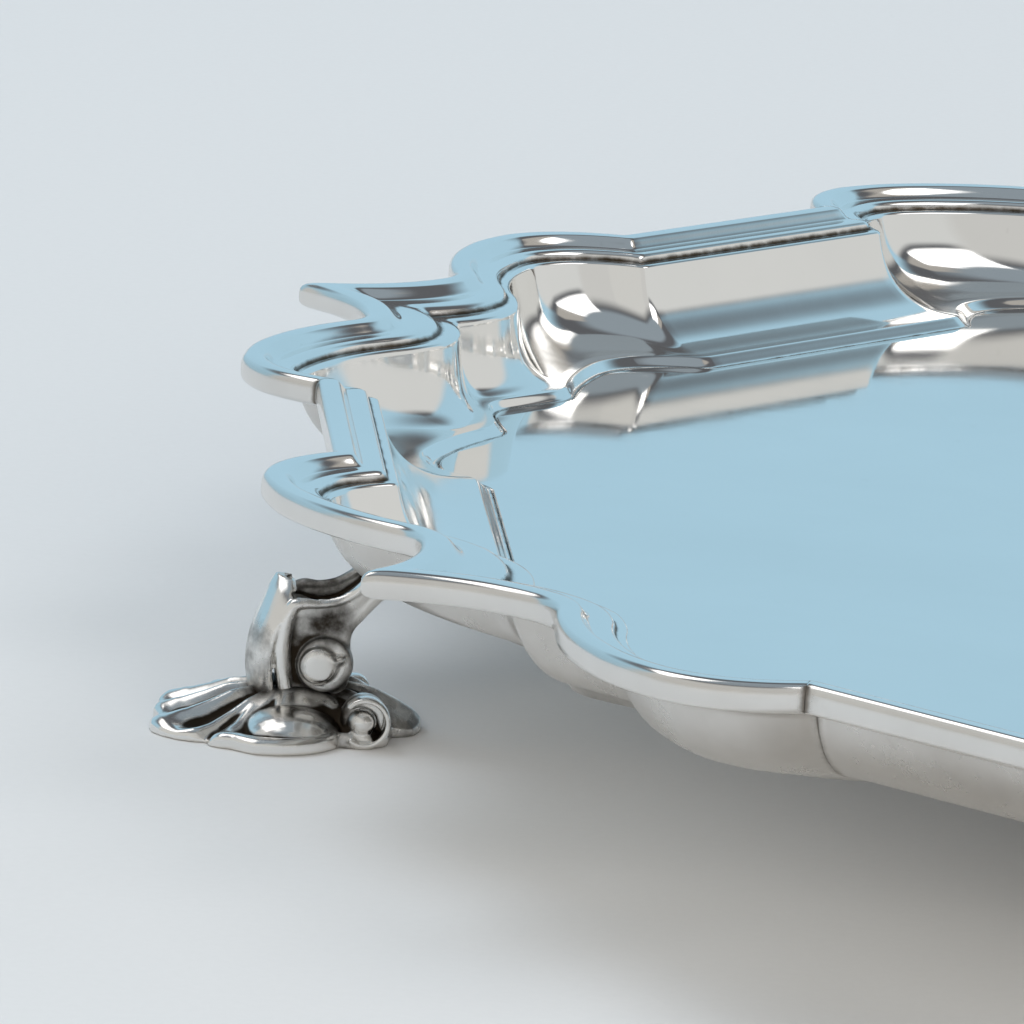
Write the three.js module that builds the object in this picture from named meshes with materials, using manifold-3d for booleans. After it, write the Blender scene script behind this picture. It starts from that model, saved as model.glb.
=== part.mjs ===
// A round silver salver with a moulded and shaped border, standing on four scroll feet.
// Millimetres, +Z up. The origin is on the ground under the middle of the tray.
import * as THREE from "three";
import { mergeVertices } from "three/addons/utils/BufferGeometryUtils.js";
import Module from "manifold-3d";

// ---- Driving dimensions ----
const OVERALL_RADIUS = 178; // middle of the tray to the tip of a middle lobe
const HEIGHT = 30.5; // ground to the top of the border
const WELL_DEPTH = 11; // top of the border down to the flat field
const METAL = 1.2; // thickness of the field and of the border's wall
const EDGE_HEIGHT = 2.7; // upright outer edge of the border
const BAND_WIDTH = 6.4; // moulded band at the top of the border
const REPEATS = 8; // straight runs, and groups of lobes, around the border
const JOINT_GAP = 0.3; // soldered joints between neighbouring pieces
const FEET = 4;

const PITCH = (2 * Math.PI) / REPEATS;
const FIELD_TOP = HEIGHT - WELL_DEPTH;
const FIELD_UNDER = FIELD_TOP - METAL;

// Half of one repeat, from the middle of a straight run to the tip of a middle lobe:
// corner angles in degrees, radii as shares of the overall radius, the bow of the edge that
// leads to each corner, and how far each corner is rounded back along its edges.
const RIM = [
  { angle: 5.77, radius: 0.93, bow: 0, round: 0 }, // inward corner at the end of the run
  { angle: 10.47, radius: 0.979, bow: 0.168, round: 3.2 }, // side lobe
  { angle: 17.55, radius: 0.934, bow: 0.088, round: 2.6 }, // valley
  { angle: 22.5, radius: 1.004, bow: -0.126, round: 1.6 }, // middle lobe
];
const FOOT_LINE = [
  { angle: 8.6, radius: 0.834, bow: 0, round: 0 },
  { angle: 11.8, radius: 0.872, bow: 0.09, round: 3.5 },
  { angle: 18.6, radius: 0.85, bow: 0.05, round: 2.6 },
  { angle: 22.5, radius: 0.878, bow: 0.02, round: 3 },
];

// Cross-section of the border, once round: inset from the rim's edge, share of the way from
// the band's inner side to the foot of the wall, and depth below the top of the border.
const PROFILE = [
  { inset: 0, wall: 0, depth: EDGE_HEIGHT - 0.5 },
  { inset: 0, wall: 0, depth: 0.7 },
  { inset: 0.8, wall: 0, depth: 0 },
  { inset: 2, wall: 0, depth: 0.1 },
  { inset: 3.3, wall: 0, depth: 1.1 },
  { inset: BAND_WIDTH - 1.4, wall: 0, depth: 1.3 },
  { inset: BAND_WIDTH - 1.1, wall: 0, depth: 2.1 },
  { inset: BAND_WIDTH, wall: 0, depth: 2.4 },
  { inset: BAND_WIDTH, wall: 0.08, depth: 5.4 },
  { inset: BAND_WIDTH, wall: 0.18, depth: 7.3 },
  { inset: BAND_WIDTH, wall: 0.38, depth: 9.2 },
  { inset: BAND_WIDTH, wall: 0.6, depth: 9.9 },
  { inset: BAND_WIDTH, wall: 0.86, depth: WELL_DEPTH - 0.9 },
  { inset: BAND_WIDTH, wall: 1, depth: WELL_DEPTH },
  { inset: BAND_WIDTH, wall: 1, depth: WELL_DEPTH + METAL },
  { inset: BAND_WIDTH, wall: 0.6, depth: WELL_DEPTH + 0.3 },
  { inset: BAND_WIDTH - 0.2, wall: 0.36, depth: 10.6 },
  { inset: BAND_WIDTH - 0.9, wall: 0.16, depth: 8.4 },
  { inset: BAND_WIDTH - 1.1, wall: 0.05, depth: 5.7 },
  { inset: BAND_WIDTH - 1.6, wall: 0, depth: 3.6 },
  { inset: 0.6, wall: 0, depth: EDGE_HEIGHT },
];
const EDGE_STEPS = [3, 3, 2]; // points along the three bowed edges of half a repeat

// ---- Foot ----
const LEG_AT = 163.4; // tray's middle to the axis of the leg's scroll
const LEG_WIDTH = 7;
const LEG_BEVEL = 1.2;
const SCROLL_RADIUS = 2.7;
const SCROLL_WIDTH = 10.2;
const SCROLL_HEIGHT = 8;
const PAD_AT = 167; // tray's middle to the middle of the shell pad
const PAD_REACH = 13.4; // half the pad's size outwards
const PAD_HALF_WIDTH = 13.6;
const PAD_HEIGHT = 4.6;

const silver = new THREE.MeshStandardMaterial({ color: 0xe6e4df, roughness: 0.12, metalness: 1 });
const castSilver = new THREE.MeshStandardMaterial({ color: 0xcfcbc4, roughness: 0.28, metalness: 1 });

const wasm = await Module();
wasm.setup();

// ---- Outline of the border ----
function corners(line) {
  return line.map(({ angle, radius }) => {
    const a = THREE.MathUtils.degToRad(angle);
    return new THREE.Vector2(Math.cos(a), Math.sin(a)).multiplyScalar(radius * OVERALL_RADIUS);
  });
}

function rightOf(v) {
  return new THREE.Vector2(v.y, -v.x);
}

// A point on a bowed edge between two corners, t from 0 to 1.
function onEdge(from, to, bow, t) {
  const along = to.clone().sub(from);
  return from
    .clone()
    .addScaledVector(along, t)
    .addScaledVector(rightOf(along), bow * 4 * t * (1 - t));
}

// Direction of a bowed edge where it leaves (end 0) or meets (end 1) a corner.
function edgeDirection(from, to, bow, end) {
  const along = to.clone().sub(from);
  const slope = end === 0 ? 4 * bow : -4 * bow;
  return along.clone().addScaledVector(rightOf(along), slope).normalize();
}

// How far and which way each rim corner moves when the outline moves in by one millimetre.
function mitres() {
  const at = corners(RIM);
  return at.map((corner, i) => {
    const before =
      i === 0 ? new THREE.Vector2(0, 1) : edgeDirection(at[i - 1], corner, RIM[i].bow, 1);
    let after;
    if (i < RIM.length - 1) {
      after = edgeDirection(corner, at[i + 1], RIM[i + 1].bow, 0);
    } else {
      const axis = corner.clone().normalize();
      after = before.clone().addScaledVector(axis, -2 * before.dot(axis));
    }
    const n1 = rightOf(before).negate();
    const n2 = rightOf(after).negate();
    return n1.clone().add(n2).divideScalar(1 + n1.dot(n2));
  });
}

const rimCorners = corners(RIM);
const footCorners = corners(FOOT_LINE);
const rimMitres = mitres();

// Half a repeat of the outline at one place of the cross-section, from the end of the run.
function halfOutline({ inset, wall }) {
  const at = rimCorners.map((corner, i) =>
    corner.clone().addScaledVector(rimMitres[i], inset).lerp(footCorners[i], wall),
  );
  const bow = RIM.map((c, i) => THREE.MathUtils.lerp(c.bow, FOOT_LINE[i].bow, wall));
  const round = RIM.map((c, i) => THREE.MathUtils.lerp(c.round, FOOT_LINE[i].round, wall));
  const points = [];
  for (let i = 1; i < at.length; i++) {
    const length = at[i].distanceTo(at[i - 1]);
    const first = round[i - 1] / length;
    const last = 1 - round[i] / length;
    for (let j = 0; j <= EDGE_STEPS[i - 1]; j++) {
      const t = THREE.MathUtils.lerp(first, last, j / EDGE_STEPS[i - 1]);
      points.push(onEdge(at[i - 1], at[i], bow[i], t));
    }
    if (i < at.length - 1) {
      const start = points.at(-1);
      const next = at[i + 1].distanceTo(at[i]);
      const end = onEdge(at[i], at[i + 1], bow[i + 1], round[i] / next);
      points.push(new THREE.QuadraticBezierCurve(start, at[i], end).getPoint(0.5));
    }
  }
  return points;
}

function turned(v, angle) {
  return v.clone().rotateAround(new THREE.Vector2(), angle);
}

// One repeat: the straight run, then the three lobes up to the next run.
function repeatOutline(place) {
  const half = halfOutline(place);
  const runStart = new THREE.Vector2(half[0].x, -half[0].y);
  const mirrored = half.map((p) => turned(new THREE.Vector2(p.x, -p.y), PITCH)).reverse();
  return [runStart, ...half, ...mirrored];
}

// ---- Solids ----
function closedMesh(positions, indices) {
  const geometry = new THREE.BufferGeometry();
  geometry.setAttribute("position", new THREE.Float32BufferAttribute(positions, 3));
  geometry.setIndex(indices);
  geometry.computeVertexNormals();
  return geometry;
}

// One cast length of border: the cross-section carried along one repeat, closed at both ends.
function borderSection() {
  const rows = PROFILE.map((place) => repeatOutline(place));
  const stations = rows[0].length;
  const sides = PROFILE.length;
  const shorten = (row, i) => {
    const p = rows[row][i].clone();
    if (i === 0) return p.add(new THREE.Vector2(0, JOINT_GAP / 2));
    if (i < stations - 1) return p;
    return p.add(turned(new THREE.Vector2(0, -JOINT_GAP / 2), PITCH));
  };
  const positions = [];
  for (let i = 0; i < stations; i++) {
    PROFILE.forEach(({ depth }, row) => {
      const p = shorten(row, i);
      positions.push(p.x, p.y, HEIGHT - depth);
    });
  }
  const indices = [];
  for (let i = 0; i < stations - 1; i++) {
    for (let row = 0; row < sides; row++) {
      const a = i * sides + row;
      const b = i * sides + ((row + 1) % sides);
      indices.push(a, a + sides, b + sides, a, b + sides, b);
    }
  }
  const flat = PROFILE.map(
    ({ depth }, row) => new THREE.Vector2(rows[row][0].x, HEIGHT - depth),
  );
  const last = (stations - 1) * sides;
  for (const [a, b, c] of THREE.ShapeUtils.triangulateShape(flat, [])) {
    indices.push(a, b, c, last + a, last + c, last + b);
  }
  return closedMesh(positions, indices);
}

// The flat field, cut to the foot of the wall.
function field() {
  const outline = [];
  const line = repeatOutline({ inset: BAND_WIDTH, wall: 1 });
  const shrink = 1 - JOINT_GAP / (FOOT_LINE[0].radius * OVERALL_RADIUS);
  for (let k = 0; k < REPEATS; k++) {
    for (const p of line.slice(0, -1)) {
      outline.push(turned(p, k * PITCH).multiplyScalar(shrink));
    }
  }
  const geometry = new THREE.ExtrudeGeometry(new THREE.Shape(outline), {
    depth: METAL,
    bevelEnabled: false,
  });
  return geometry.translate(0, 0, FIELD_UNDER);
}

function solid(geometry) {
  const bare = geometry.index ? geometry.toNonIndexed() : geometry.clone();
  bare.deleteAttribute("normal");
  bare.deleteAttribute("uv");
  const merged = mergeVertices(bare, 1e-3);
  return new wasm.Manifold(
    new wasm.Mesh({
      numProp: 3,
      vertProperties: merged.attributes.position.array,
      triVerts: new Uint32Array(merged.index.array),
    }),
  );
}

function geometryOf(body) {
  const mesh = body.getMesh();
  return closedMesh(Array.from(mesh.vertProperties), Array.from(mesh.triVerts));
}

// The leg's side view in the radial plane, outwards and up, swept across its width; the
// scroll is a drum through it.
function leg() {
  const top = FIELD_UNDER - JOINT_GAP;
  const side = new THREE.Shape();
  side.moveTo(143, top);
  side.lineTo(151.5, top);
  side.quadraticCurveTo(156, 17.2, 159.6, 15.6);
  side.quadraticCurveTo(163, 14, 166, 14.2);
  side.lineTo(168.3, 15.4);
  side.quadraticCurveTo(170.7, 12.4, 171.1, 9.2);
  side.quadraticCurveTo(171.3, 6.8, 170.2, PAD_HEIGHT + JOINT_GAP);
  side.lineTo(162.6, PAD_HEIGHT + JOINT_GAP);
  side.quadraticCurveTo(160.4, 7.6, 160.8, 10);
  side.quadraticCurveTo(158.6, 13.2, 154, 14.4);
  side.quadraticCurveTo(148, 15.4, 143, top - 1.2);
  side.closePath();
  const blade = new THREE.ExtrudeGeometry(side, {
    depth: LEG_WIDTH - 2 * LEG_BEVEL,
    bevelThickness: LEG_BEVEL,
    bevelSize: 0.5,
    bevelOffset: -0.5,
    bevelSegments: 1,
    curveSegments: 4,
  });
  blade.translate(0, 0, LEG_BEVEL - LEG_WIDTH / 2).rotateX(Math.PI / 2);
  const drum = new THREE.CylinderGeometry(SCROLL_RADIUS, SCROLL_RADIUS, SCROLL_WIDTH, 18);
  drum.translate(LEG_AT, 0, SCROLL_HEIGHT);
  return geometryOf(solid(blade).add(solid(drum)));
}

// The shell pad: a low dome on a flat sole, longer outwards than across.
function pad() {
  const dome = [
    [0, 0],
    [0.97, 0],
    [1, 0.5],
    [0.97, 1.8],
    [0.84, 3],
    [0.6, PAD_HEIGHT - 0.4],
    [0.42, PAD_HEIGHT],
    [0, PAD_HEIGHT],
  ].map(([share, z]) => new THREE.Vector2(share * PAD_HALF_WIDTH, z));
  const geometry = new THREE.LatheGeometry(dome, 24);
  geometry.rotateX(Math.PI / 2);
  geometry.scale(PAD_REACH / PAD_HALF_WIDTH, 1, 1);
  return geometry.translate(PAD_AT, 0, 0);
}

// ---- Assembly ----
const salver = new THREE.Group();

function place(name, geometry, material, parent) {
  const mesh = new THREE.Mesh(geometry, material);
  mesh.name = name;
  parent.add(mesh);
}

place("tray_plate", field(), silver, salver);

const section = borderSection();
for (let k = 0; k < REPEATS; k++) {
  const at = new THREE.Group();
  at.rotation.z = k * PITCH;
  place(`border_section_${k + 1}`, section, silver, at);
  salver.add(at);
}

const legGeometry = leg();
const padGeometry = pad();
for (let k = 0; k < FEET; k++) {
  const at = new THREE.Group();
  at.rotation.z = (k * 2 * Math.PI) / FEET;
  place(`foot_leg_${k + 1}`, legGeometry, castSilver, at);
  place(`foot_pad_${k + 1}`, padGeometry, castSilver, at);
  salver.add(at);
}

export default salver;
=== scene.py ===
import math

import bmesh
import bpy
import numpy as np
from mathutils import Matrix, Vector

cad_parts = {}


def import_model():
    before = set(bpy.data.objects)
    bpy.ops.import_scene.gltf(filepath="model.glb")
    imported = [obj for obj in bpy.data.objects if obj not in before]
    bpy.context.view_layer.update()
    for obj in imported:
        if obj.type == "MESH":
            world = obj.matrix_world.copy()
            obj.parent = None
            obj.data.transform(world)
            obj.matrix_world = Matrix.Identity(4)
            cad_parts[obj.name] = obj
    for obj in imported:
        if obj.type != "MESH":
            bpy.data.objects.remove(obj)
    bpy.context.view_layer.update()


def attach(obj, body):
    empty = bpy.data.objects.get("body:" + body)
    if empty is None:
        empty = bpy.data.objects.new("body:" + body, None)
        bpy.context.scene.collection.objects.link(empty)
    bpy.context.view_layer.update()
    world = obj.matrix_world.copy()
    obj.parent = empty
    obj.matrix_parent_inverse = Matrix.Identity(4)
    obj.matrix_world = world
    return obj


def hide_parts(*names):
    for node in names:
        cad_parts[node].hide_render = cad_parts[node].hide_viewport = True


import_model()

MM = 0.001

# ---------------------------------------------------------------- dimensions, millimetres
RADIUS = 178.0  # half the size from pointed tip to pointed tip
HEIGHT = 30.5
WELL = 11.0  # from the top of the border down to the field
METAL = 1.2
BAND = 6.4  # from the outer edge to the top of the dished wall
REPEATS = 8
PITCH = 2 * math.pi / REPEATS
FIELD_TOP = HEIGHT - WELL

# Half of one repeat has four corners: the inward corner at the end of the straight run, the
# rounded lobe, the hollow after it and the pointed tip. Each has an angle in degrees from the
# middle of the run, and a radius as a share of RADIUS: at the edge, then at the foot of the wall.
RIM = [(5.77, 0.930), (10.47, 0.979), (17.55, 0.934), (22.5, 1.004)]
FOOT_LINE = [(8.6, 0.834), (11.8, 0.872), (18.6, 0.850), (22.5, 0.878)]
# How far the line before each corner bows outwards, as a share of its length (inwards where it
# is negative): edge, foot.
BOW = [(0, 0), (0.168, 0.09), (0.088, 0.05), (-0.126, 0.02)]
# How far from each corner its rounding starts: edge, top of the wall, foot of the wall.
ROUND = [(0.5, 0.9, 1.6), (3.4, 1.4, 3.5), (2.6, 3.8, 2.6), (1.8, 0.8, 3.0)]
STEPS = [16, 30, 34, 26]  # points along the line before each corner
FILLET = 9  # points round a corner
TIP_FILLET = FILLET // 2


# ---------------------------------------------------------------- small helpers
def mix(a, b, t):
    return a + (b - a) * t


def eased(t):
    return t * t * (3 - 2 * t)


def wave(x, at, width):
    """A bell that is 1 at one place and falls away on both sides."""
    return math.exp(-((x - at) / width) ** 2)


def unit(v):
    return v / np.linalg.norm(v)


def right_of(v):
    return np.array([v[1], -v[0]])


def polar(angle, share):
    a = math.radians(angle)
    return np.array([math.cos(a), math.sin(a)]) * share * RADIUS


def turned(p, angle):
    c, s = math.cos(angle), math.sin(angle)
    return p @ np.array([[c, s], [-s, c]])


def mesh_object(name, verts, faces, attributes=None, smooth=True):
    mesh = bpy.data.meshes.new(name)
    mesh.from_pydata([tuple(v) for v in verts], [], faces)
    mesh.update()
    if smooth:
        mesh.polygons.foreach_set("use_smooth", [True] * len(mesh.polygons))
    for key, values in (attributes or {}).items():
        attribute = mesh.attributes.new(key, "FLOAT", "POINT")
        attribute.data.foreach_set("value", np.asarray(values, np.float32))
    o = bpy.data.objects.new(name, mesh)
    bpy.context.scene.collection.objects.link(o)
    return o


# ---------------------------------------------------------------- outline of the border
def bowed(a, b, bow, t):
    """Points at the shares t of the way from a to b, along a line that bows to its right."""
    line = b - a
    t = np.atleast_1d(t)[:, None]
    return a + line * t + right_of(line) * bow * 4 * t * (1 - t)


def mitres():
    """How each corner of the edge moves for one millimetre of inset."""
    corners = [polar(*c) for c in RIM]
    out = []
    for i, corner in enumerate(corners):
        if i == 0:
            before = np.array([0.0, 1.0])
        else:
            line = corner - corners[i - 1]
            before = unit(line - 4 * BOW[i][0] * right_of(line))
        if i < len(corners) - 1:
            line = corners[i + 1] - corner
            after = unit(line + 4 * BOW[i + 1][0] * right_of(line))
        else:
            axis = unit(corner)
            after = before - 2 * before.dot(axis) * axis
        n1, n2 = -right_of(before), -right_of(after)
        out.append((n1 + n2) / (1 + n1.dot(n2)))
    return out


MITRES = mitres()


def half_outline(inset, wall):
    """From the middle of a run to the pointed tip, at one place of the section."""
    corners = [mix(polar(*RIM[i]) + MITRES[i] * inset, polar(*FOOT_LINE[i]), wall)
               for i in range(len(RIM))]
    corners.insert(0, np.array([corners[0][0], 0.0]))
    bow = [mix(edge, foot, wall) for edge, foot in BOW]
    reach = [mix(mix(edge, top, min(inset / BAND, 1.0)), foot, wall) for edge, top, foot in ROUND]
    reach.insert(0, 0.0)
    points = []
    for i in range(1, len(corners)):
        a, b = corners[i - 1], corners[i]
        length = np.linalg.norm(b - a)
        shares = np.linspace(reach[i - 1] / length, 1 - reach[i] / length, STEPS[i - 1] + 1)
        points.extend(bowed(a, b, bow[i - 1], shares))
        start = points[-1]
        if i < len(corners) - 1:
            following = corners[i + 1]
            end = bowed(b, following, bow[i], reach[i] / np.linalg.norm(following - b))[0]
            rounding = [j / FILLET for j in range(1, FILLET)]
        else:
            axis = unit(b)
            end = 2 * start.dot(axis) * axis - start
            rounding = [j / (2 * TIP_FILLET) for j in range(1, TIP_FILLET + 1)]
        for t in rounding:
            points.append((1 - t) ** 2 * start + 2 * t * (1 - t) * b + t * t * end)
    return np.array(points)


INWARD_CORNER = STEPS[0] + 1 + (FILLET - 1) // 2  # its place among half_outline's points


def section_outline(inset, wall):
    """One cast length: from the inward corner before a run to the one before the next run."""
    half = half_outline(inset, wall)
    flip = half * [1, -1]
    return np.vstack([flip[INWARD_CORNER:0:-1], half,
                      turned(flip[INWARD_CORNER:-1][::-1], PITCH)])


def ring_outline(inset, wall):
    part = section_outline(inset, wall)[:-1]
    return np.vstack([turned(part, k * PITCH) for k in range(REPEATS)])


# ---------------------------------------------------------------- section of the border
STEP = 0.9  # height of the small step from the wall's foot down to the field
STEP_AT = 0.86  # how far in the wall's foot is, on the way from its top to the field
WALL_CURVE = 2.7
WALL_DRAFT = 0.18
WALL_TOP_DEPTH = 2.6

# inset, depth, tarnish and painted shade: from under the edge, up it and over its rounded top; the
# rows under the edge are painted darker as shade
EDGE_ROWS = [
    (0.60, 2.70, 0.3), (0.35, 2.62, 0.2), (0.14, 2.42, 0.1), (0.03, 2.12, 0.03), (0.0, 1.75, 0),
    (0.0, 1.2, 0), (0.02, 0.8, 0), (0.1, 0.48, 0), (0.26, 0.24, 0), (0.52, 0.08, 0),
    (0.85, 0.01, 0), (1.25, 0.0, 0), (1.6, 0.02, 0), (1.85, 0.08, 0)]
# the slope from there down to the flat band
SLOPE_INSET = 1.9
SLOPE_WIDTH = 1.3
SLOPE_DEPTH = 0.08
SLOPE_DROP = 1.08
SLOPE_ROWS = 12
# the flat band, the groove after it and the bead at the top of the wall
BAND_ROWS = [
    (3.6, 1.19, 0), (4.0, 1.17, 0), (4.4, 1.18, 0), (4.7, 1.23, 0), (4.92, 1.34, 0),
    (5.06, 1.5, 0.05), (5.16, 1.68, 0.35), (5.24, 1.92, 0.7), (5.34, 2.08, 0.8),
    (5.5, 2.14, 0.35), (5.72, 2.14, 0), (5.95, 2.16, 0), (6.14, 2.21, 0), (6.27, 2.29, 0),
    (6.35, 2.4, 0), (6.39, 2.55, 0)]
# rows down the inside of the wall and up its outside, as shares of its depth
WALL_ROWS = [0.02, 0.05, 0.1, 0.16, 0.23, 0.3, 0.37, 0.44, 0.5, 0.56, 0.62, 0.68, 0.73, 0.78, 0.82,
             0.86, 0.89, 0.92, 0.945, 0.965, 0.98, 0.99, 0.997, 1.0]
OUTSIDE_ROWS = [1.0, 0.995, 0.98, 0.95, 0.91, 0.86, 0.8, 0.73, 0.65, 0.56, 0.46, 0.36, 0.26, 0.17,
                0.1]
STEP_ROWS = 14


def wall_share(y):
    """How far in the dished wall has come at a share of its depth."""
    dish = 1 - (1 - y ** WALL_CURVE) ** (1 / WALL_CURVE)
    return STEP_AT * (WALL_DRAFT * y + (1 - WALL_DRAFT) * dish)


def profile():
    """Rows (inset, wall share, depth, tarnish and painted shade): from under the edge, over the
    border to the field, and back along the underside, whose rows are painted darker as shade under
    the tray."""
    rows = [(inset, 0.0, depth, dark) for inset, depth, dark in EDGE_ROWS]
    for j in range(1, SLOPE_ROWS + 1):
        t = j / SLOPE_ROWS
        rows.append((SLOPE_INSET + SLOPE_WIDTH * t, 0.0, SLOPE_DEPTH + SLOPE_DROP * eased(t),
                     0.12 * wave(t, 0.75, 0.2)))
    rows += [(inset, 0.0, depth, dark) for inset, depth, dark in BAND_ROWS]
    rows += [(BAND, wall_share(y), mix(WALL_TOP_DEPTH, WELL - STEP, y), 0.0) for y in WALL_ROWS]
    for j in range(1, STEP_ROWS + 1):
        t = j / STEP_ROWS
        rows.append((BAND, mix(STEP_AT, 0.995, t), WELL - STEP + STEP * eased(t),
                     0.45 * wave(t, 1.0, 0.1)))
    rows.append((BAND, 1.0, WELL, 0.5))
    # painted shade from here on: the underside, out along the wall and under the band, is darkened
    rows.append((BAND, 1.0, WELL + METAL, 0.3))
    for y in OUTSIDE_ROWS:
        share = wall_share(y)
        below = (share / STEP_AT) ** 0.5
        rows.append((BAND - 1.15 * (1 - below), share,
                     mix(3.0, WELL - STEP, y) + METAL * below, 0.02))
    # painted shade under the band, near the edge
    rows.append((3.4, 0.0, 3.2, 0.45))
    rows.append((1.6, 0.0, 2.8, 0.5))
    return rows


# ---------------------------------------------------------------- shader helpers
def new_material(name):
    material = bpy.data.materials.new(name)
    material.use_nodes = True
    tree = material.node_tree
    shader = next(n for n in tree.nodes if n.type == "BSDF_PRINCIPLED")
    return material, tree, shader


def feed(tree, socket, value):
    """Link an output to the socket, or set a number or a colour on it."""
    if isinstance(value, bpy.types.NodeSocket):
        tree.links.new(value, socket)
    else:
        socket.default_value = value


def maths(tree, operation, *values, clamp=False):
    n = tree.nodes.new("ShaderNodeMath")
    n.operation = operation
    n.use_clamp = clamp
    for socket, value in zip(n.inputs, values):
        feed(tree, socket, value)
    return n.outputs[0]


def remapped(tree, value, low, high, to_low=0.0, to_high=1.0, soft=False):
    n = tree.nodes.new("ShaderNodeMapRange")
    if soft:
        n.interpolation_type = "SMOOTHSTEP"
    feed(tree, n.inputs["Value"], value)
    n.inputs["From Min"].default_value = low
    n.inputs["From Max"].default_value = high
    n.inputs["To Min"].default_value = to_low
    n.inputs["To Max"].default_value = to_high
    return n.outputs["Result"]


def noise(tree, place, scale, detail, roughness):
    n = tree.nodes.new("ShaderNodeTexNoise")
    tree.links.new(place, n.inputs["Vector"])
    n.inputs["Scale"].default_value = scale
    n.inputs["Detail"].default_value = detail
    n.inputs["Roughness"].default_value = roughness
    return n.outputs["Fac"]


def mixed(tree, share, a, b):
    n = tree.nodes.new("ShaderNodeMix")
    n.data_type = "RGBA"
    feed(tree, n.inputs["Factor"], share)
    feed(tree, n.inputs["A"], a)
    feed(tree, n.inputs["B"], b)
    return n.outputs["Result"]


def shaded(tree, value, color, darker):
    """The colour, a little darker where the value is low."""
    ramp = tree.nodes.new("ShaderNodeValToRGB")
    low, high = ramp.color_ramp.elements
    low.position = 0.3
    low.color = (*[c * darker for c in color], 1)
    high.position = 0.7
    high.color = (*color, 1)
    tree.links.new(value, ramp.inputs["Fac"])
    return ramp.outputs["Color"]


def vertex_value(tree, name):
    n = tree.nodes.new("ShaderNodeAttribute")
    n.attribute_name = name
    return n.outputs["Fac"]


def bump(tree, height, distance):
    n = tree.nodes.new("ShaderNodeBump")
    n.inputs["Strength"].default_value = 1.0
    n.inputs["Distance"].default_value = distance
    tree.links.new(height, n.inputs["Height"])
    return n


# ---------------------------------------------------------------- silver
# the matt grey of worn silver, also painted on the outside of the wall and the underside as shade
DULL_AND_SHADE_COLOR = (0.50, 0.47, 0.435)
TARNISH_ROUGHNESS = 0.38
DULL_ROUGHNESS = 0.3


def silver(name, base, rough, tarnish_and_shade, ripple, scratch):
    """Polished silver: dark where the vertices give tarnish and painted shade, matt and grey where
    they give wear and painted shade.
    The ripple of the hand-worked surface and the scratches are heights in metres."""
    material, tree, shader = new_material(name)
    link = tree.links.new
    shader.inputs["Metallic"].default_value = 1.0
    place = tree.nodes.new("ShaderNodeTexCoord").outputs["Object"]
    # tarnish and painted shade, with a patchy margin
    patchy = maths(tree, "MULTIPLY_ADD", noise(tree, place, 420.0, 5.0, 0.62), 0.9, -0.45)
    depth = maths(tree, "ADD", vertex_value(tree, "tarnish_and_shade"), patchy)
    dark = remapped(tree, depth, 0.12, 0.85, soft=True)
    # broad clouding of the polish
    clouded = shaded(tree, noise(tree, place, 38.0, 4.0, 0.55), base, 0.955)
    color = mixed(tree, dark, clouded, (*tarnish_and_shade, 1))
    # worn and unpolished places, and the painted shade on the outside of the wall, smudged
    dull_and_shade = vertex_value(tree, "dull_and_shade")
    smudge = remapped(tree, noise(tree, place, 70.0, 4.0, 0.6), 0.3, 0.7, 0.75, 1.2)
    dull_and_shade_share = maths(tree, "MULTIPLY", dull_and_shade, smudge, clamp=True)
    link(mixed(tree, dull_and_shade_share, color, (*DULL_AND_SHADE_COLOR, 1)), shader.inputs["Base Color"])
    # roughness: fine wiping marks, then the tarnish, the dull places and the painted shade
    wiped = remapped(tree, noise(tree, place, 160.0, 6.0, 0.7), 0.3, 0.75, rough * 0.75, rough * 1.5)
    tarnished = maths(tree, "MULTIPLY_ADD", dark, TARNISH_ROUGHNESS, wiped, clamp=True)
    link(maths(tree, "MULTIPLY_ADD", dull_and_shade, DULL_ROUGHNESS, tarnished, clamp=True),
         shader.inputs["Roughness"])
    # relief: the ripple, then hairline scratches over it
    rippled = bump(tree, noise(tree, place, 95.0, 2.0, 0.5), ripple)
    stretch = tree.nodes.new("ShaderNodeMapping")
    stretch.inputs["Scale"].default_value = (900.0, 60.0, 900.0)
    stretch.inputs["Rotation"].default_value = (0.3, 0.2, 0.9)
    link(place, stretch.inputs["Vector"])
    scratched = bump(tree, noise(tree, stretch.outputs["Vector"], 3.0, 3.0, 0.6), scratch)
    link(rippled.outputs["Normal"], scratched.inputs["Normal"])
    link(scratched.outputs["Normal"], shader.inputs["Normal"])
    return material


# the colour of tarnish, also painted as shade under the border; the cast silver's darker one is also
# painted as shade low on the leaf
TARNISH_AND_SHADE = (0.075, 0.055, 0.035)
POLISHED = silver("polished_silver", (0.94, 0.93, 0.91), 0.075, TARNISH_AND_SHADE, 2.2e-5, 1.0e-6)
FIELD = silver("field_silver", (0.94, 0.925, 0.90), 0.05, TARNISH_AND_SHADE, 0.9e-5, 1.0e-6)
CAST = silver("cast_silver", (0.86, 0.845, 0.82), 0.19, (0.035, 0.026, 0.018), 7e-5, 3e-6)

# ---------------------------------------------------------------- border sections
JOINT_GAP = 0.012  # each length stops this short of the joint
JOINT_DARK_REACH = 0.8  # how far the solder's tarnish spreads from the joint
ROWS = profile()
FIRST_UNDER = next(i for i, row in enumerate(ROWS) if row[2] > WELL + 0.01)
OUTLINES = np.array([section_outline(inset, wall) for inset, wall, _, _ in ROWS])
DEPTHS = np.array([depth for _, _, depth, _ in ROWS])
ROW_TARNISH_AND_SHADE = np.array([dark for _, _, _, dark in ROWS])
# how dark a joint is: most on the edge, less on the outside of the wall, least on the inside
SEAM = np.array([0.95 if inset < 0.3 and wall == 0 else 0.2 for inset, wall, _, _ in ROWS])
SEAM[FIRST_UNDER:] = 0.55
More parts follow.
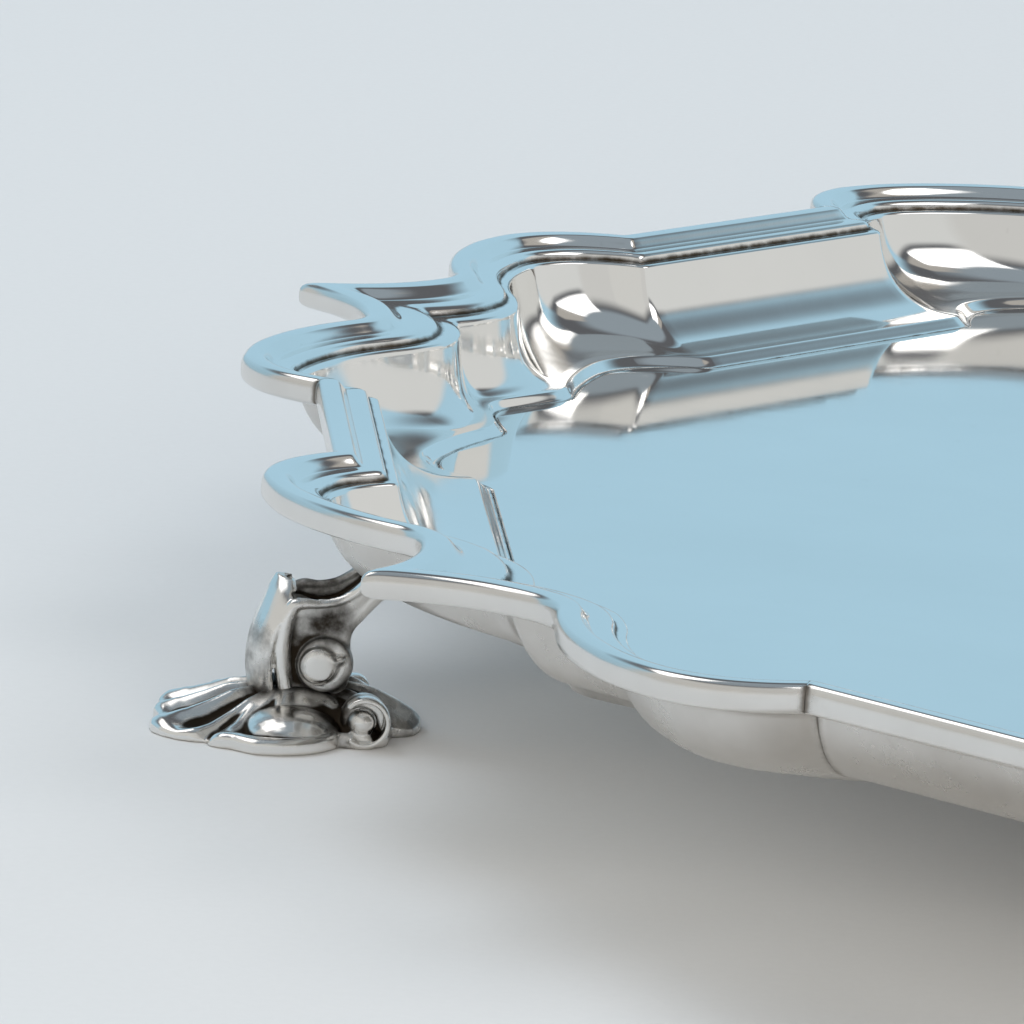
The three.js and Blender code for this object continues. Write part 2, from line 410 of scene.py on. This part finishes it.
# how far the surface has gone dull: the outer edge a little from wear; the outside of the wall and
# the underside are painted darker and matt, as painted shade under the tray
DULL_AND_SHADE = np.array([0.45 * (1 - max(0, inset - 0.05) / 0.4) if inset < 0.45 and wall == 0 else 0.0
                 for inset, wall, _, _ in ROWS])
DULL_AND_SHADE[FIRST_UNDER:] = 0.68


def border_section(k):
    rows, stations = OUTLINES.shape[:2]
    points = OUTLINES.copy()
    points[:, 0] += [0, JOINT_GAP]
    points[:, -1] += turned(np.array([[0, -JOINT_GAP]]), PITCH)[0]
    points = turned(points.reshape(-1, 2), k * PITCH).reshape(rows, stations, 2)
    verts = np.zeros((stations, rows, 3))
    verts[:, :, 0] = points[:, :, 0].T
    verts[:, :, 1] = points[:, :, 1].T
    verts[:, :, 2] = HEIGHT - DEPTHS
    dark = np.tile(ROW_TARNISH_AND_SHADE, (stations, 1))
    for end in (0, stations - 1):
        away = np.linalg.norm(verts - verts[end][None], axis=2)
        seam = np.clip(1 - away / JOINT_DARK_REACH, 0, 1) ** 1.2
        dark = np.maximum(dark, seam * SEAM)
    faces = []
    for i in range(stations - 1):
        for r in range(rows):
            a, b = i * rows + r, i * rows + (r + 1) % rows
            faces.append((a, a + rows, b + rows, b))
    faces.append(tuple(range(rows)))
    faces.append(tuple((stations - 1) * rows + r for r in reversed(range(rows))))
    o = mesh_object(f"border_{k + 1}", verts.reshape(-1, 3) * MM, faces,
                    {"tarnish_and_shade": dark.reshape(-1), "dull_and_shade": np.tile(DULL_AND_SHADE, stations)})
    for end_face in (-2, -1):
        o.data.polygons[len(faces) + end_face].use_smooth = False
    o.data.materials.append(POLISHED)
    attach(o, "root")
    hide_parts(f"border_section_{k + 1}")


for k in range(REPEATS):
    border_section(k)

# ---------------------------------------------------------------- field
FIELD_SHARE = 0.9985  # the field ends just inside the border's foot
FIELD_RINGS = [1.0, 0.9985, 0.995, 0.985, 0.96, 0.92, 0.86, 0.78, 0.68, 0.56, 0.42, 0.27, 0.12]


def field():
    edge = ring_outline(BAND, 1.0) * FIELD_SHARE
    n = len(edge)
    verts, dark = [], []
    for side in (0, 1):
        z = FIELD_TOP - side * METAL
        for share in FIELD_RINGS:
            verts += [(p[0] * share, p[1] * share, z) for p in edge]
            dark += [0.45 if share == 1.0 else 0.0] * n
        verts.append((0, 0, z))
        dark.append(0.0)
    faces = []
    layer = len(FIELD_RINGS) * n + 1
    for side in (0, 1):
        base = side * layer
        for j in range(len(FIELD_RINGS) - 1):
            for i in range(n):
                a, b = base + j * n + i, base + j * n + (i + 1) % n
                quad = (a, b, b + n, a + n)
                faces.append(quad if side == 0 else quad[::-1])
        hub = base + len(FIELD_RINGS) * n
        for i in range(n):
            a, b = hub - n + i, hub - n + (i + 1) % n
            faces.append((a, b, hub) if side == 0 else (b, a, hub))
    for i in range(n):
        a, b = i, (i + 1) % n
        faces.append((b, a, layer + a, layer + b))
    o = mesh_object("field", np.array(verts) * MM, faces, {"tarnish_and_shade": dark})
    o.data.materials.append(FIELD)
    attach(o, "root")
    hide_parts("tray_plate")


field()


# ---------------------------------------------------------------- shapes the feet are cast from
# In a foot's own frame x runs outwards from the middle of the tray, y across the foot, z up.
def loft(sections):
    """Closed rings of equal length, joined and capped."""
    n = len(sections[0])
    verts = [p for ring in sections for p in ring]
    faces = []
    for j in range(len(sections) - 1):
        for i in range(n):
            a, b = j * n + i, j * n + (i + 1) % n
            faces.append((a, b, b + n, a + n))
    faces.append(tuple(reversed(range(n))))
    faces.append(tuple((len(sections) - 1) * n + i for i in range(n)))
    return verts, faces


def smooth_path(points, steps):
    """A Catmull-Rom curve through rows of numbers."""
    p = np.array(points, float)
    p = np.vstack([2 * p[0] - p[1], p, 2 * p[-1] - p[-2]])
    out = []
    for i in range(1, len(p) - 2):
        for t in np.linspace(0, 1, steps, endpoint=False):
            a, b, c, d = p[i - 1:i + 3]
            out.append(0.5 * (2 * b + (c - a) * t + (2 * a - 5 * b + 4 * c - d) * t * t
                              + (3 * b - a - 3 * c + d) * t ** 3))
    out.append(p[-2])
    return np.array(out)


def swept(points, steps=8, sides=28, power=1.0, curl=0.0, shift=0.0):
    """An oval carried along rows of (outwards, up, half width across, half thickness)."""
    rows = smooth_path(points, steps)
    rings = []
    for j, row in enumerate(rows):
        a, b = rows[max(j - 1, 0)], rows[min(j + 1, len(rows) - 1)]
        line = unit((b - a)[:2])
        out = np.array([line[1], -line[0]])
        ring = []
        for i in range(sides):
            t = 2 * math.pi * i / sides
            c, s = math.cos(t), math.sin(t)
            across = row[2] * math.copysign(abs(c) ** power, c)
            thick = row[3] * math.copysign(abs(s) ** power, s)
            thick -= curl * (across / row[2]) ** 2
            q = row[:2] + out * thick
            ring.append((q[0], across + shift, q[1]))
        rings.append(ring)
    return loft(rings)


def plate(outline, half, round_edge):
    """A side view (outwards, up) given thickness across, with rounded edges."""
    p = smooth_path(list(outline) + [outline[0]], 6)[:-1]
    middle = p.mean(0)
    rings = []
    for across, inset in [(-half, 1), (-half + round_edge * 0.3, 0.3), (-half + round_edge, 0),
                          (half - round_edge, 0), (half - round_edge * 0.3, 0.3), (half, 1)]:
        ring = []
        for i, q in enumerate(p):
            tangent = unit(p[(i + 1) % len(p)] - p[i - 1])
            inward = np.array([-tangent[1], tangent[0]])
            if inward.dot(middle - q) < 0:
                inward = -inward
            moved = q + inward * inset * round_edge
            ring.append((moved[0], across, moved[1]))
        rings.append(ring)
    return loft(rings)


def blob(centre, radii, lean=0.0):
    """An ellipsoid, leaning in the side view."""
    sides, rings = 28, 18
    c, s = math.cos(lean), math.sin(lean)
    verts = []
    for j in range(1, rings):
        v = math.pi * j / rings
        for i in range(sides):
            u = 2 * math.pi * i / sides
            x = radii[0] * math.sin(v) * math.cos(u)
            z = radii[2] * math.sin(v) * math.sin(u)
            y = radii[1] * math.cos(v)
            verts.append((centre[0] + x * c - z * s, centre[1] + y, centre[2] + x * s + z * c))
    verts.append((centre[0], centre[1] + radii[1], centre[2]))
    verts.append((centre[0], centre[1] - radii[1], centre[2]))
    return verts, ringed_faces(rings - 1, sides)


def disc(centre, radius, half, dish=0.0):
    """A round boss whose axis runs across the foot, with a rolled edge and a dished face."""
    sides = 40
    section = [(radius * 0.7, -half), (radius * 0.93, -half * 0.95), (radius, -half * 0.75),
               (radius, half * 0.75), (radius * 0.93, half * 0.97), (radius * 0.82, half),
               (radius * 0.66, half - dish * 0.6), (radius * 0.4, half - dish)]
    verts = []
    for r, y in section:
        for i in range(sides):
            u = 2 * math.pi * i / sides
            verts.append((centre[0] + r * math.cos(u), centre[1] + y, centre[2] + r * math.sin(u)))
    verts.append((centre[0], centre[1] - half, centre[2]))
    verts.append((centre[0], centre[1] + half - dish, centre[2]))
    return verts, ringed_faces(len(section), sides)


def ringed_faces(rings, sides):
    """Faces between rings of vertices, closed by the two points that follow them."""
    faces = []
    for j in range(rings - 1):
        for i in range(sides):
            a, b = j * sides + i, j * sides + (i + 1) % sides
            faces.append((a, b, b + sides, a + sides))
    first, last = rings * sides, (rings - 1) * sides
    for i in range(sides):
        faces.append((first, (i + 1) % sides, i))
        faces.append((first + 1, last + i, last + (i + 1) % sides))
    return faces


def mirrored(shape, side):
    verts, faces = shape
    return [(x, side * y, z) for x, y, z in verts], faces


def fused(parts, voxel):
    """Closed shapes melted into one cast surface; returns vertices (mm) and faces."""
    verts, faces = [], []
    for part_verts, part_faces in parts:
        base = len(verts)
        verts += [tuple(p) for p in part_verts]
        faces += [tuple(i + base for i in face) for face in part_faces]
    mesh = bpy.data.meshes.new("cast")
    mesh.from_pydata(verts, [], faces)
    bm = bmesh.new()
    bm.from_mesh(mesh)
    bmesh.ops.recalc_face_normals(bm, faces=bm.faces)
    bm.to_mesh(mesh)
    bm.free()
    o = bpy.data.objects.new("cast", mesh)
    bpy.context.scene.collection.objects.link(o)
    remesh = o.modifiers.new("remesh", "REMESH")
    remesh.mode = "VOXEL"
    remesh.voxel_size = voxel
    remesh.adaptivity = 0.0
    soften = o.modifiers.new("soften", "SMOOTH")
    soften.factor = 0.5
    soften.iterations = 2
    evaluated = o.evaluated_get(bpy.context.evaluated_depsgraph_get())
    done = bpy.data.meshes.new_from_object(evaluated)
    bpy.data.objects.remove(o)
    points = np.zeros(len(done.vertices) * 3)
    done.vertices.foreach_get("co", points)
    faces = [tuple(p.vertices) for p in done.polygons]
    bpy.data.meshes.remove(done)
    return points.reshape(-1, 3), faces


def hollows(points, faces, gain):
    """How deep in a recess each vertex lies, 0 to 1: how far it moves outwards as the surface
    is smoothed, at three scales."""
    edges = set()
    for f in faces:
        for i in range(len(f)):
            edges.add((min(f[i], f[i - 1]), max(f[i], f[i - 1])))
    corners = np.array([f[:4] if len(f) >= 4 else (*f, f[-1]) for f in faces])
    a, b, c, d = (points[corners[:, i]] for i in range(4))
    face_normals = np.cross(c - a, d - b)
    normals = np.zeros_like(points)
    for i in range(4):
        np.add.at(normals, corners[:, i], face_normals)
    normals /= np.maximum(np.linalg.norm(normals, axis=1, keepdims=True), 1e-12)
    e = np.array(sorted(edges))
    count = np.bincount(e.ravel(), minlength=len(points))[:, None].astype(float)

    def spread(v):
        out = np.zeros_like(v)
        np.add.at(out, e[:, 0], v[e[:, 1]])
        np.add.at(out, e[:, 1], v[e[:, 0]])
        return out / np.maximum(count, 1)

    soft = points.copy()
    total = np.zeros(len(points))
    for passes in (10, 60, 120):
        for _ in range(passes):
            soft = spread(soft)
        total += ((soft - points) * normals).sum(1)
    dark = np.clip(total * gain, 0, 1)[:, None]
    for _ in range(2):
        dark = 0.5 * dark + 0.5 * spread(dark)
    return dark[:, 0]


# ---------------------------------------------------------------- legs
REED_AT = 3.05  # from the middle of a leg to its reeds
WEB_AT = 2.9
# The rows are (outwards, up, half width across, half thickness), the points (outwards, up).
# The leaf stands on the leg's outer face, free at its tip. The cheeks are the side view of the
# leg, the knee joins them to the leaf, and the neck spreads out under the tray.
LEAF = [(169.2, 2.4, 3.3, 0.9), (169.75, 4.6, 3.6, 0.95), (169.95, 7.0, 3.9, 0.95),
        (169.6, 9.4, 3.9, 0.92), (168.95, 11.5, 3.7, 0.85), (168.3, 13.3, 3.0, 0.8),
        (167.95, 14.7, 1.5, 0.45)]
CHEEKS = [(167.5, 12.5), (165.9, 12.3), (164.1, 11.8), (162.4, 12.1), (161.1, 13.0),
          (159.6, 14.2), (157.4, 15.6), (154.5, 16.9), (155.0, 15.0), (156.8, 14.1),
          (158.2, 13.0), (159.8, 11.2), (160.9, 9.6), (160.9, 7.0), (161.1, 4.6),
          (162.4, 2.4), (167.0, 2.2), (168.0, 5.0), (168.1, 8.0), (167.9, 10.6)]
KNEE = [(167.6, 12.4, 2.2, 0.55), (166.9, 13.5, 2.4, 0.5), (166.4, 13.6, 2.4, 0.4)]
NECK = [(158.6, 14.6, 3.6, 1.0), (156.6, 15.8, 3.9, 1.2), (153.4, 16.7, 4.6, 1.1),
        (149.5, 17.2, 5.6, 0.8), (145.5, 17.5, 6.2, 0.55)]


def reed(side):
    """A reed up the outer edge of a cheek and along the top of the neck, a little lower on the
    side y > 0, and the web of metal under it."""
    drop = -0.3 * side
    line = [(166.8, 3.4, 0.8, 0.75), (167.2, 5.0, 0.8, 0.75), (167.55, 7.6, 0.85, 0.8),
            (167.35, 10.4, 0.85, 0.8), (166.7, 12.2, 0.8, 0.7),
            (165.6, 12.85 + drop, 0.7, 0.5), (164.1, 12.85 + drop, 0.6, 0.4),
            (162.5, 13.15 + drop, 0.6, 0.4), (161.1, 13.9 + drop, 0.65, 0.42),
            (159.6, 15.1 + drop / 2, 0.8, 0.5), (157.6, 16.2, 1.1, 0.5)]
    web = [(167.2, 11.6, 0.5, 0.9), (165.6, 12.1 + drop, 0.5, 0.9),
           (164.1, 12.0 + drop, 0.5, 0.9), (162.5, 12.3 + drop, 0.5, 0.9),
           (161.1, 13.0 + drop, 0.5, 0.9), (159.6, 14.2, 0.5, 0.8),
           (158.0, 15.2, 0.5, 0.6)]
    return [swept(line, sides=18, shift=side * REED_AT), swept(web, sides=18, shift=side * WEB_AT)]


def leg_shape():
    parts = [swept(LEAF, curl=1.25, power=0.85), plate(CHEEKS, 3.25, 0.55)]
    for side in (-1, 1):
        parts += reed(side)
    parts.append(swept(KNEE))
    parts.append(swept(NECK, sides=36, power=0.75))
    # the scroll on each cheek: a dished disc, its eye, and the scroll's end lying on the eye
    scroll = [disc((163.4, 0, 6.75), 2.8, 4.05, dish=0.42),
              disc((164.05, 0, 6.85), 1.85, 5.05, dish=-0.12),
              blob((162.4, 4.05, 7.3), (1.0, 0.75, 0.45), lean=-0.3)]
    for side in (-1, 1):
        parts += [mirrored(shape, side) for shape in scroll]
    return fused(parts, 0.15)


def leg_tarnish_and_shade(points):
    """Tarnish in the dished top of the neck and on the reed at its side y < 0, on the cheeks round
    the scroll and at the foot, and painted shade low on the leaf."""
    x, across, z = points[:, 0], points[:, 1], points[:, 2]
    y = abs(across)
    dish = (np.clip((2.75 - across) / 0.6, 0, 1) * np.clip((across + 4.0) / 0.5, 0, 1)
            * np.clip((z - 11.2) / 0.8, 0, 1) * (x < 166.4))
    cheek = np.clip(1.25 - np.hypot((x - 163.0) / 4.4, (z - 10.6) / 3.2), 0, 1) * (y > 2.9)
    from_scroll = np.hypot(x - 163.4, z - 6.75)
    ring = np.clip(1.2 - abs(from_scroll - 2.75) / 1.1, 0, 1) * (y > 2.9)
    # painted shade: the outer face of the leaf darker low down
    leaf = np.clip((x - 168.0) / 0.8, 0, 1) * np.clip((12.5 - z) / 3, 0, 1)
    foot = np.clip((4.6 - z) / 1.8, 0, 1)
    return np.max([0.58 * dish, 0.68 * cheek, 0.55 * ring, 0.4 * leaf, 0.6 * foot], axis=0)


# ---------------------------------------------------------------- shell pads
PAD_MID = 166.0  # from the tray's middle to the pad's
PAD_CURL_AT = 159.8
PAD_SIDES = 288
PAD_RINGS = 60
# radius against the angle in degrees, from the outer end (0) to the inner end (180)
PAD_OUTLINE = [(0, 13.4), (6, 13.1), (12, 13.3), (18, 14.6), (24, 15.1), (30, 15.0), (38, 14.5),
               (44, 13.7), (48, 12.9), (52, 13.7), (57, 13.7), (62, 13.4), (67, 13.8), (73, 14.2),
               (82, 13.8), (90, 13.2), (98, 12.3), (107, 11.0), (114, 10.1), (119, 10.7),
               (127, 11.7), (139, 11.6), (149, 10.6), (156, 10.3), (165, 11.9), (174, 12.3),
               (180, 12.4)]
# height above the sole against the share of the way out: shell, flank and inner leaf
SHELL = [(0, 4.6), (0.36, 3.75), (0.5, 3.3), (0.66, 2.45), (0.81, 1.75), (0.9, 1.5), (0.965, 1.35),
         (0.99, 1.05), (1, 0.75)]
FLANK = [(0, 5.0), (0.3, 4.3), (0.5, 2.9), (0.7, 1.5), (0.8, 1.1), (0.84, 1.05), (0.88, 1.25),
         (0.92, 1.5), (0.97, 1.45), (1, 1.1)]
INNER = [(0, 4.6), (0.3, 4.4), (0.6, 3.5), (0.8, 2.5), (0.93, 1.7), (1, 0.9)]


def read_off(table, at):
    return np.interp(at, [row[0] for row in table], [row[1] for row in table])


def pad_height(degrees, share):
    """Top of the shell pad, mm: fluted outwards, with a swollen flank and a fluted inner leaf."""
    a = abs(degrees)
    grow = min(1.0, max(0.0, (share - 0.15) / 0.35))
    flute = math.cos(math.radians(a) * 360 / 24) - 0.35
    shell = read_off(SHELL, share)
    shell += 0.62 * flute * grow * (1 - 0.75 * max(0, share - 0.85) / 0.15)
    shell -= 1.1 * wave(a, 49, 4.0) * min(1, share / 0.7) ** 2
    flank = read_off(FLANK, share) + 0.3 * wave(a, 57, 4) * grow
    if share < 0.86:
        flank -= 0.45 * wave(a, 66, 4) * grow
    inner = read_off(INNER, share)
    inner += 0.65 * math.cos(math.radians(a) * 360 / 30) * grow * (1 - share * 0.7)
    outer_part = max(0.0, min(1.0, (64 - a) / 14))
    inner_part = max(0.0, min(1.0, (a - 118) / 26))
    flank_part = 1 - outer_part - inner_part
    return max(0.25, outer_part * shell + flank_part * flank + inner_part * inner)


def pad_body():
    """The pad's top as rings of vertices, closed by an upright edge and a flat sole."""
    n = PAD_SIDES
    known = np.array(PAD_OUTLINE, float)
    verts = []
    for j in range(PAD_RINGS + 1):
        out = (j / PAD_RINGS) ** 0.85
        for i in range(n):
            angle = 2 * math.pi * i / n
            degrees = (math.degrees(angle) + 180) % 360 - 180
            r = np.interp(abs(degrees), known[:, 0], known[:, 1])
            if i > n / 2:  # the side y < 0 is shorter
                r *= 1 - 0.13 * wave(abs(degrees), 30, 16)
            share = mix(r * out / 13.2, out, out ** 3)
            verts.append((PAD_MID + r * out * math.cos(angle), r * out * math.sin(angle),
                          pad_height(degrees, share)))
    sole = len(verts)
    rim = PAD_RINGS * n
    verts += [(x, y, 0.0) for x, y, _ in verts[rim:]]
    faces = []
    for j in range(1, PAD_RINGS):
        for i in range(n):
            a, b = j * n + i, j * n + (i + 1) % n
            faces.append((a, a + n, b + n, b))
    faces.append(tuple(n + i for i in range(n)))
    for i in range(n):
        a, b = i, (i + 1) % n
        faces.append((rim + a, sole + a, sole + b, rim + b))
    faces.append(tuple(sole + i for i in reversed(range(n))))
    return verts, faces


def pad_shape():
    parts = [pad_body()]
    for side in (-1, 1):
        parts.append(blob((166.4, side * 6.8, 0.6), (5.0, 5.1, 2.6)))
    # the pad's curled ends: a ribbon round a knob, full-sized where y > 0 and smaller on the
    # other side
    ribbon = [(159.55 + 2.2 * math.cos(t), 2.55 + 2.2 * math.sin(t), 0.95, 0.3)
              for t in np.radians(np.linspace(40, 310, 12))]
    curled_end = [blob((PAD_CURL_AT, 8.5, 2.5), (1.4, 1.3, 1.3)),
                  swept(ribbon, steps=5, sides=16, power=0.7, shift=8.85),
                  disc((159.5, 6.4, 2.5), 2.2, 1.2)]
    for side, size in ((1, 1.0), (-1, 0.62)):
        for verts, faces in curled_end:
            sized = [(PAD_CURL_AT + (x - PAD_CURL_AT) * size, side * y, z * size)
                     for x, y, z in verts]
            parts.append((sized, faces))
    points, faces = fused(parts, 0.17)
    points[:, 2] = np.where(points[:, 2] < 0.12, 0.0, points[:, 2])  # the flat sole
    return points, faces


def pad_dirt(points):
    """Tarnish left round the leg's foot and between flank and curl; the inner leaf darker towards
    the tray's middle.
    """
    x, y = points[:, 0], abs(points[:, 1])
    from_leg = np.hypot(np.maximum(abs(x - 165.5) - 4.5, 0), np.maximum(y - 3.4, 0))
    from_curl = np.hypot((x - 162.4) / 1.3, (y - 7.3) / 1.15)
    leaf = np.clip((161.0 - x) / 3, 0, 1) * (y < 6.4)
    return np.max([0.75 * np.clip(1 - from_leg / 2.4, 0, 1),
                   0.85 * np.clip(1.3 - from_curl / 2.4, 0, 1), 0.36 * leaf], axis=0)


def foot_piece(name, node_name, shape, dark, angle):
    points, faces = shape
    c, s = math.cos(angle), math.sin(angle)
    placed = np.stack([points[:, 0] * c - points[:, 1] * s, points[:, 0] * s + points[:, 1] * c,
                       points[:, 2]], 1)
    o = mesh_object(name, placed * MM, faces, {"tarnish_and_shade": dark})
    o.data.materials.append(CAST)
    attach(o, "root")
    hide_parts(node_name)


LEG = leg_shape()
PAD = pad_shape()
LEG_DARK = np.maximum(hollows(*LEG, gain=1.25), leg_tarnish_and_shade(LEG[0]))
PAD_DARK = np.maximum(hollows(*PAD, gain=2.6), pad_dirt(PAD[0]))
for k in range(4):
    foot_piece(f"leg_{k + 1}", f"foot_leg_{k + 1}", LEG, LEG_DARK, k * math.pi / 2)
    foot_piece(f"pad_{k + 1}", f"foot_pad_{k + 1}", PAD, PAD_DARK, k * math.pi / 2)

# ---------------------------------------------------------------- floor, metres from here on
FLOOR_REACH = 3
FLOOR_DROP = 5e-5
FLOOR_COLOR = (0.80, 0.80, 0.81)
UP = Vector((0, 0, 1))


def paper():
    material, tree, shader = new_material("paper")
    place = tree.nodes.new("ShaderNodeTexCoord").outputs["Object"]
    grain = shaded(tree, noise(tree, place, 900.0, 3.0, 0.6), FLOOR_COLOR, 0.985)
    tree.links.new(grain, shader.inputs["Base Color"])
    shader.inputs["Roughness"].default_value = 0.9
    shader.inputs["Specular IOR Level"].default_value = 0.2
    return material


corners = [(-1, -1), (1, -1), (1, 1), (-1, 1)]
floor = mesh_object("floor", [(x * FLOOR_REACH, y * FLOOR_REACH, -FLOOR_DROP) for x, y in corners],
                    [(0, 1, 2, 3)], smooth=False)
floor.data.materials.append(paper())

# ---------------------------------------------------------------- camera
TURN = math.radians(-4.386)
DOWN = math.radians(12.02)
ROLL = math.radians(3.70)
RIGHT = Vector((math.cos(TURN), math.sin(TURN), 0))
FAR = Vector((-math.sin(TURN), math.cos(TURN), 0))


def camera():
    data = bpy.data.cameras.new("camera")
    data.sensor_width = 36.0
    data.lens = 318.7
    data.clip_start = 0.05
    o = bpy.data.objects.new("camera", data)
    bpy.context.scene.collection.objects.link(o)
    forward = FAR * math.cos(DOWN) - UP * math.sin(DOWN)
    level_up = FAR * math.sin(DOWN) + UP * math.cos(DOWN)
    image_right = RIGHT * math.cos(ROLL) + level_up * math.sin(ROLL)
    image_up = level_up * math.cos(ROLL) - RIGHT * math.sin(ROLL)
    placed = Matrix((image_right, image_up, -forward)).transposed().to_4x4()
    placed.translation = RIGHT * -0.1457 - FAR * 0.8612 + UP * 0.2028
    o.matrix_world = placed
    bpy.context.scene.camera = o


camera()
bpy.context.scene.view_settings.view_transform = "Standard"

# ---------------------------------------------------------------- studio that the silver mirrors
CEILING = (0.11, 0.115, 0.125)
# Azimuth from, to, softness (0 is away from the camera, 90 to its right), height from, to,
# softness, all in degrees, and colour. Each patch lies over the ones before it.
PATCHES = [
    (-200, 200, 5, -20, 10, 12, (0.50, 0.50, 0.50)),
    (-200, 200, 5, 62, 95, 12, (0.27, 0.32, 0.36)),
    (135, 200, 12, -5, 50, 22, (0.60, 0.60, 0.585)),
    (-200, -78, 12, -5, 50, 22, (0.63, 0.63, 0.61)),
    (58, 140, 8, -5, 34, 8, (0.66, 0.67, 0.66)),
    (-82, 62, 10, 0, 38, 14, (0.40, 0.617, 0.754)),
    (60, 84, 6, 43, 64, 5, (0.42, 0.40, 0.37)),
    (84, 138, 5, 40, 64, 5, (2.0, 2.0, 2.0)),
    (-100, -24, 6, 48, 76, 5, (1.7, 1.7, 1.7)),
]


def world():
    studio = bpy.data.worlds.new("studio")
    bpy.context.scene.world = studio
    studio.use_nodes = True
    tree = studio.node_tree
    background = next(n for n in tree.nodes if n.type == "BACKGROUND")
    direction = tree.nodes.new("ShaderNodeTexCoord").outputs["Generated"]

    def share_of(axis):
        n = tree.nodes.new("ShaderNodeVectorMath")
        n.operation = "DOT_PRODUCT"
        tree.links.new(direction, n.inputs[0])
        n.inputs[1].default_value = axis
        return n.outputs["Value"]

    def degrees(radians):
        return maths(tree, "MULTIPLY", radians, 180 / math.pi)

    def between(value, low, high, soft):
        above = remapped(tree, value, low - soft / 2, low + soft / 2, soft=True)
        past = remapped(tree, value, high - soft / 2, high + soft / 2, soft=True)
        return maths(tree, "MULTIPLY", above, maths(tree, "SUBTRACT", 1.0, past))

    ahead, high, right = share_of(FAR), share_of(UP), share_of(RIGHT)
    azimuth = degrees(maths(tree, "ARCTAN2", right, ahead))
    height = degrees(maths(tree, "ARCSINE", high))
    color = (*CEILING, 1)
    for left, right_end, side_soft, low, top, edge_soft, rgb in PATCHES:
        inside = maths(tree, "MULTIPLY", between(azimuth, left, right_end, side_soft),
                       between(height, low, top, edge_soft))
        color = mixed(tree, inside, color, (*rgb, 1))
    tree.links.new(color, background.inputs["Color"])


world()


# ---------------------------------------------------------------- lights
def softbox(name, at, size, power, color):
    """A rectangle of light aimed at the tray's middle, which the silver doesn't mirror."""
    data = bpy.data.lights.new(name, "AREA")
    data.shape = "RECTANGLE"
    data.size, data.size_y = size
    data.energy = power
    data.color = color
    o = bpy.data.objects.new(name, data)
    bpy.context.scene.collection.objects.link(o)
    o.location = at
    o.rotation_euler = (-at).to_track_quat("-Z", "Y").to_euler()
    o.visible_glossy = False


softbox("key", FAR * 2.2 - RIGHT * 2.0 + UP * 4.2, (2.6, 2.6), 60.0, (0.72, 0.87, 1.0))
softbox("fill", -FAR * 3.0 - RIGHT * 0.3 + UP * 0.8, (4.2, 1.5), 96.0, (1.0, 0.945, 0.84))
